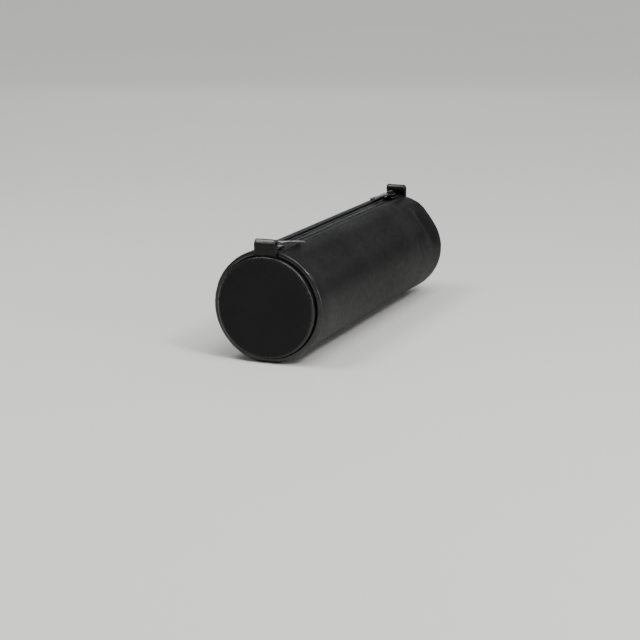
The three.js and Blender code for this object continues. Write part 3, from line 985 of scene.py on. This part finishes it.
def area_light(name, location, target, size, power):
    data = bpy.data.lights.new(name, "AREA")
    data.shape = "RECTANGLE"
    data.size, data.size_y = size
    data.energy = power
    light = bpy.data.objects.new(name, data)
    light.location = location
    light.rotation_euler = (Vector(target) - Vector(location)).to_track_quat("-Z", "Y").to_euler()
    light.visible_camera = False
    bpy.context.scene.collection.objects.link(light)


def sun_light(direction, strength, spread_deg):
    data = bpy.data.lights.new("sun", "SUN")
    data.energy = strength
    data.angle = math.radians(spread_deg)
    light = bpy.data.objects.new("sun", data)
    light.rotation_euler = Vector(direction).to_track_quat("Z", "Y").to_euler()
    bpy.context.scene.collection.objects.link(light)


def glow_by_direction(tree, background):
    """The surroundings are brighter low down beyond the far end, as towards a window."""
    place = tree.nodes.new("ShaderNodeTexCoord")
    towards = tree.nodes.new("ShaderNodeVectorMath")
    towards.operation = "DOT_PRODUCT"
    towards.inputs[1].default_value = (0.98, 0.19, 0.0)
    glow = tree.nodes.new("ShaderNodeMapRange")
    for key, number in zip(("From Min", "From Max", "To Min", "To Max"), (0.93, 0.99, 0.3, 1.1)):
        glow.inputs[key].default_value = number
    tree.links.new(place.outputs["Generated"], towards.inputs[0])
    tree.links.new(towards.outputs["Value"], glow.inputs["Value"])
    tree.links.new(glow.outputs["Result"], background.inputs["Strength"])


def make_lights():
    world = bpy.data.worlds.new("studio")
    world.use_nodes = True
    background = world.node_tree.nodes["Background"]
    background.inputs["Color"].default_value = (0.95, 0.97, 1.0, 1)
    glow_by_direction(world.node_tree, background)
    bpy.context.scene.world = world
    centre = (0, 0, 0.03)
    sun_light((-0.2, -0.3, 0.9), 1.9, 40)
    area_light("key", (-0.42, -0.62, 0.72), centre, (0.16, 0.16), 4.5)
    area_light("overhead", (-0.26, 0.38, 0.9), centre, (0.34, 0.34), 4)
    area_light("window", (1.25, 0.6, 0.36), centre, (0.8, 0.26), 0.5)
    area_light("right_low", (-0.4, -0.95, 0.26), centre, (0.22, 0.4), 2.3)
    area_light("back_right", (1.0, -0.6, 0.6), centre, (0.3, 0.3), 1.0)


def make_camera():
    """Looks at the case from beyond its near end and its right side."""
    azimuth, elevation = math.radians(-67.83), math.radians(13.31)
    distance = 31.83 * RADIUS
    shift_right, shift_up = 0.3202 * RADIUS, 0.8963 * RADIUS
    right = Vector((math.cos(azimuth), math.sin(azimuth), 0))
    level = math.cos(elevation)
    back = Vector((math.sin(azimuth) * level, -math.cos(azimuth) * level, math.sin(elevation)))
    up = back.cross(right)
    data = bpy.data.cameras.new("camera")
    data.sensor_width = 36
    data.lens = 95.6
    data.clip_start, data.clip_end = 0.05, 20
    camera = bpy.data.objects.new("camera", data)
    camera.matrix_world = Matrix((right, up, back)).transposed().to_4x4()
    camera.location = Vector((0, 0, AXIS_Z)) + back * distance - right * shift_right - up * shift_up
    bpy.context.scene.collection.objects.link(camera)
    bpy.context.scene.camera = camera


def finish_cad_nodes():
    """The stiff pieces that stay as the CAD made them, hidden inside the case."""
    for end in ENDS:
        for name in (f"end_board_{end}", f"rim_strip_{end}"):
            node = bpy.data.objects[name]
            node.data.materials.clear()
            node.data.materials.append(FIBRE_BOARD)


make_camera()
make_lights()
make_floor()
make_base()
for end_name in ENDS:
    for side_name in SIDES:
        make_flank(end_name, side_name)
    make_cap(end_name)
    make_end_lining(end_name)
    make_tab(end_name)
    make_slider(end_name)
    make_pull(end_name)
make_layer(
    "padding", PADDING_INSET, FILLER, PADDING_EDGE, padding_high.x, PADDING_FELT, "padding_felt"
)
make_layer(
    "lining", LINING_INSET, LINING, LINING_EDGE, lining_high.x, LINING_CLOTH, "lining_fabric"
)
make_tapes()
make_teeth()
make_stops()
make_stitches()
finish_cad_nodes()
